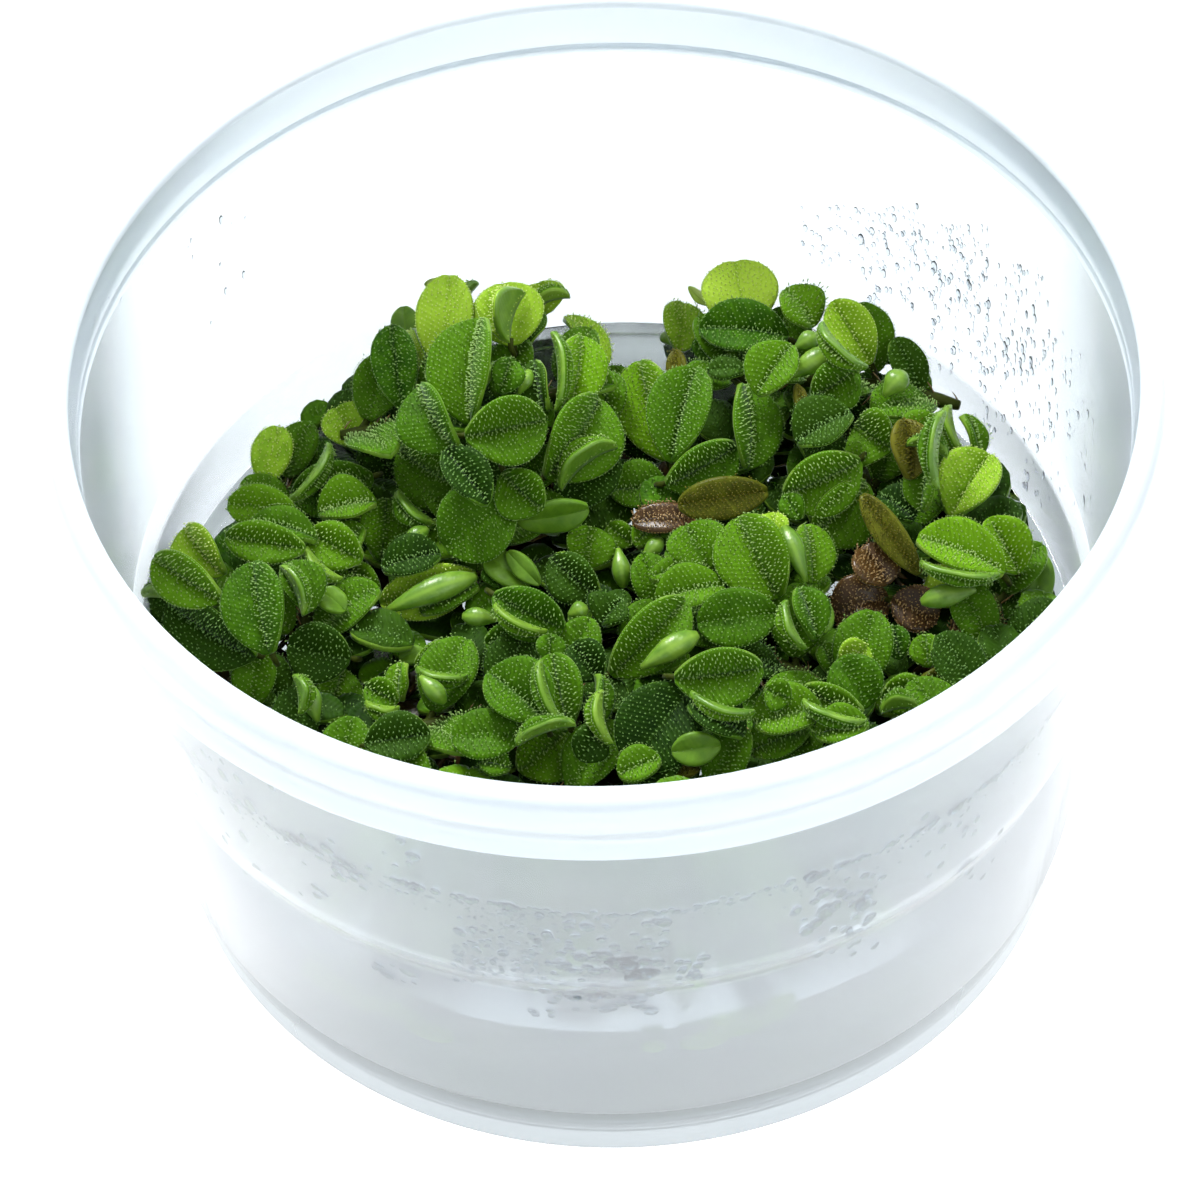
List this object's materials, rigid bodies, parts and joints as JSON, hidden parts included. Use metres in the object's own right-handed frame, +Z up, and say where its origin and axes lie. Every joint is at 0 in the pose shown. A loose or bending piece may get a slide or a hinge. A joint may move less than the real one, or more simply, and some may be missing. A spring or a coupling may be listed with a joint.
{
  "type": "salvinia plants floating in a clear plastic cup",
  "caption": "Round translucent plastic cup, open at the top, holding shallow water and a heap of small floating salvinia plants with oval papillose leaves.",
  "frame": {"origin": "centre of the ring that the cup stands on, on the table's surface", "axes": "+Z up along the cup's axis, -Y towards the side that the picture was taken from, +X to its right"},
  "size_m": [0.106, 0.106, 0.0637],
  "materials": {
    "cup_plastic": "translucent frosted polypropylene, injection moulded, satin inside",
    "water": "clear still water",
    "plant": "living leaf, matt green and hairy, on a brown green rhizome with brown root tufts",
    "leaf_green": "living leaf, matt mid green with rows of pale papillae, paler smooth underside",
    "leaf_young": "young leaf, light yellow green with rows of pale papillae",
    "leaf_dark": "old leaf, deep green with rows of pale papillae",
    "leaf_bud": "rolled young leaf, smooth satin yellow green",
    "leaf_old": "ageing leaf, olive, smooth underside",
    "leaf_dead": "dead leaf, brown, dull, with pale hairs"
  },
  "bodies": {
    "root": {"cup": "cup_plastic", "water": "water", "plant_01": "plant", "plant_02": "plant", "plant_03": "plant", "plant_04": "plant", "plant_05": "plant", "plant_06": "plant", "plant_07": "plant", "plant_08": "plant", "plant_09": "plant", "plant_10": "plant", "plant_11": "plant", "plant_12": "plant", "leaf_01": "leaf_young", "leaf_02": "leaf_young", "leaf_03": "leaf_green", "leaf_04": "leaf_young", "leaf_05": "leaf_bud", "leaf_06": "leaf_green", "leaf_07": "leaf_green", "leaf_08": "leaf_green", "leaf_09": "leaf_green", "leaf_10": "leaf_old", "leaf_11": "leaf_green", "leaf_12": "leaf_green", "leaf_13": "leaf_green", "leaf_14": "leaf_young", "leaf_15": "leaf_green", "leaf_16": "leaf_young", "leaf_17": "leaf_green", "leaf_18": "leaf_green", "leaf_19": "leaf_green", "leaf_20": "leaf_green", "leaf_21": "leaf_young", "leaf_22": "leaf_bud", "leaf_23": "leaf_green", "leaf_24": "leaf_green", "leaf_25": "leaf_young", "leaf_26": "leaf_green", "leaf_27": "leaf_green", "leaf_28": "leaf_young", "leaf_29": "leaf_young", "leaf_30": "leaf_dead", "leaf_31": "leaf_dead", "leaf_32": "leaf_green", "leaf_33": "leaf_green", "leaf_34": "leaf_green", "leaf_35": "leaf_dark", "leaf_36": "leaf_green", "leaf_37": "leaf_young", "leaf_38": "leaf_green", "leaf_39": "leaf_green", "leaf_40": "leaf_green", "leaf_41": "leaf_green", "leaf_42": "leaf_dark", "leaf_43": "leaf_green", "leaf_44": "leaf_green", "leaf_45": "leaf_dark", "leaf_46": "leaf_dark"}
  },
  "joints": []
}
